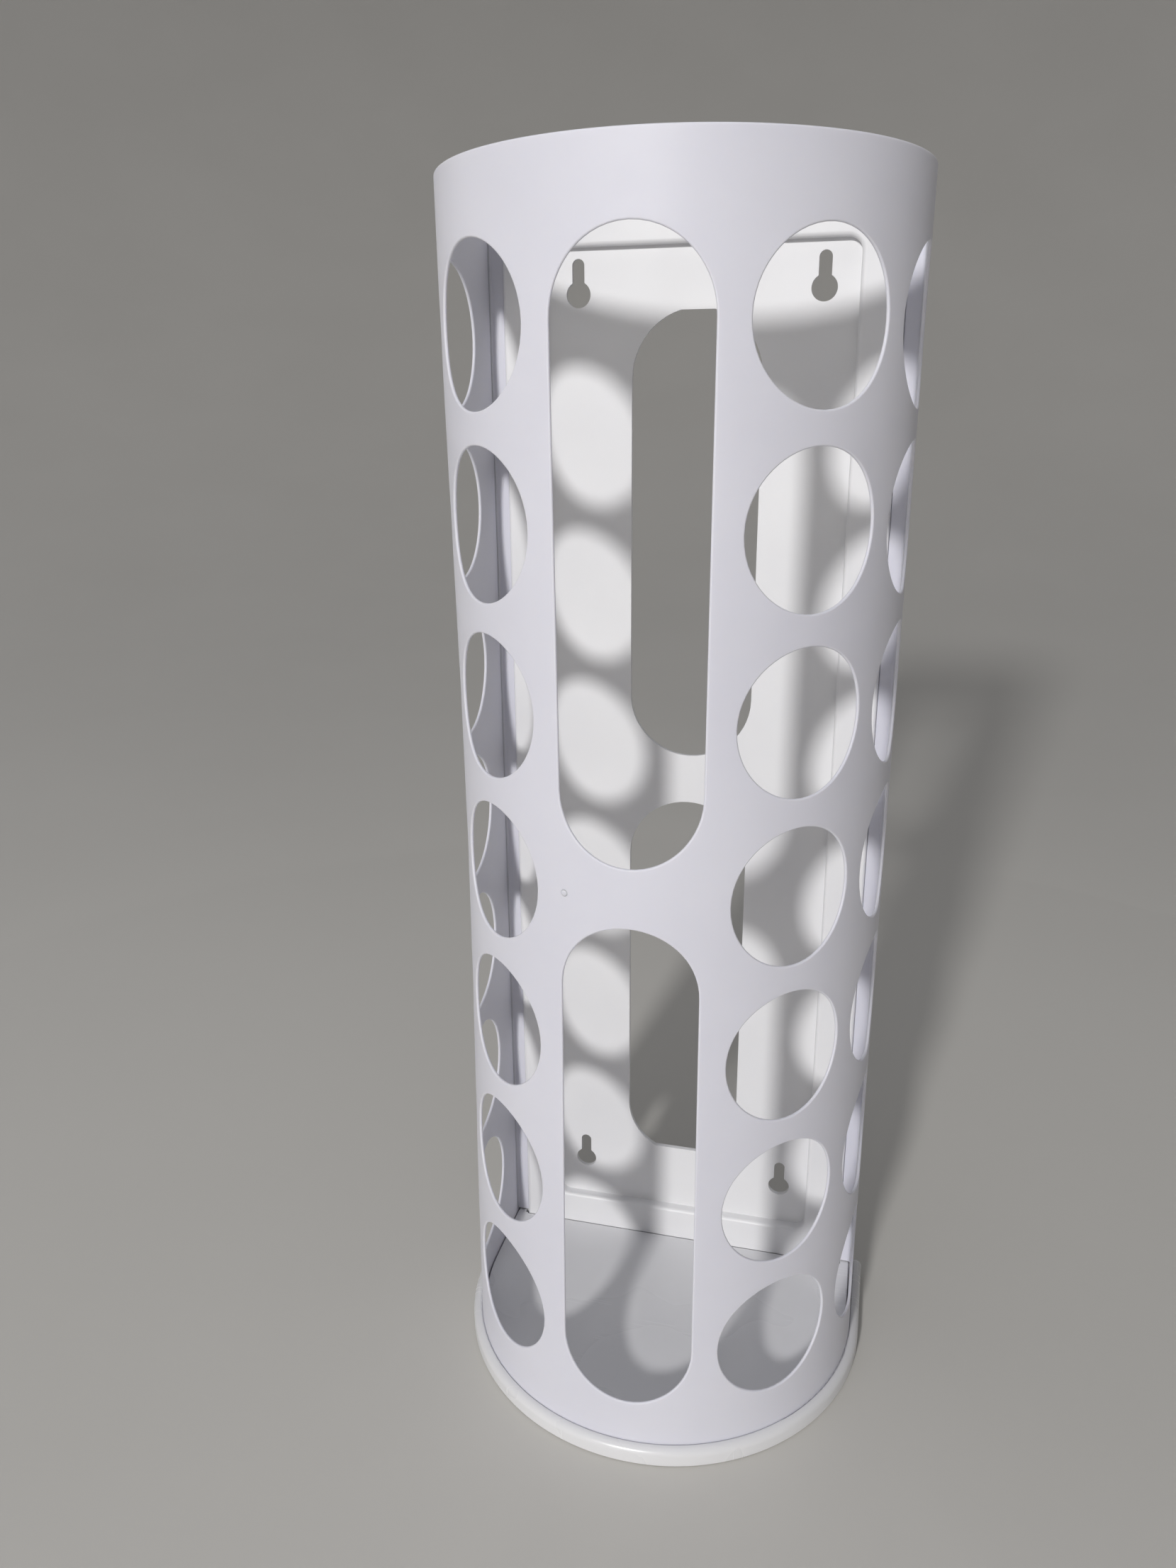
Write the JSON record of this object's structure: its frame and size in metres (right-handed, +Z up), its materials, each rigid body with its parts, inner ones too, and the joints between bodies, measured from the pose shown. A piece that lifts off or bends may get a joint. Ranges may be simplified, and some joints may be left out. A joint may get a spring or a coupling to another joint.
{
  "type": "carrier bag dispenser",
  "caption": "Wall or floor standing carrier-bag dispenser: a perforated sheet bent round a flat back panel, with an open top, front slots and a fold-down base.",
  "frame": {"origin": "bottom centre of the whole object's bounding box, where it stands on a floor", "axes": "+Z up, +Y towards the wall, -Y out of the rounded front with the two slots, +X to the right seen from the front"},
  "size_m": [0.168, 0.124, 0.45],
  "materials": {
    "sheet_plastic": "satin, slightly translucent white polypropylene",
    "panel_plastic": "satin white polypropylene",
    "tray_plastic": "glossy white polypropylene"
  },
  "bodies": {
    "dispenser": {"front_sheet": "sheet_plastic", "back_panel": "panel_plastic", "hinge_film": "panel_plastic"},
    "base": {"base_tray": "tray_plastic"}
  },
  "joints": [
    {"name": "base_fold", "type": "hinge", "parent": "dispenser", "child": "base", "pos_m": [0, 0.0613, 0.0007], "axis": [1, 0, 0], "range_deg": [0, 90]}
  ]
}
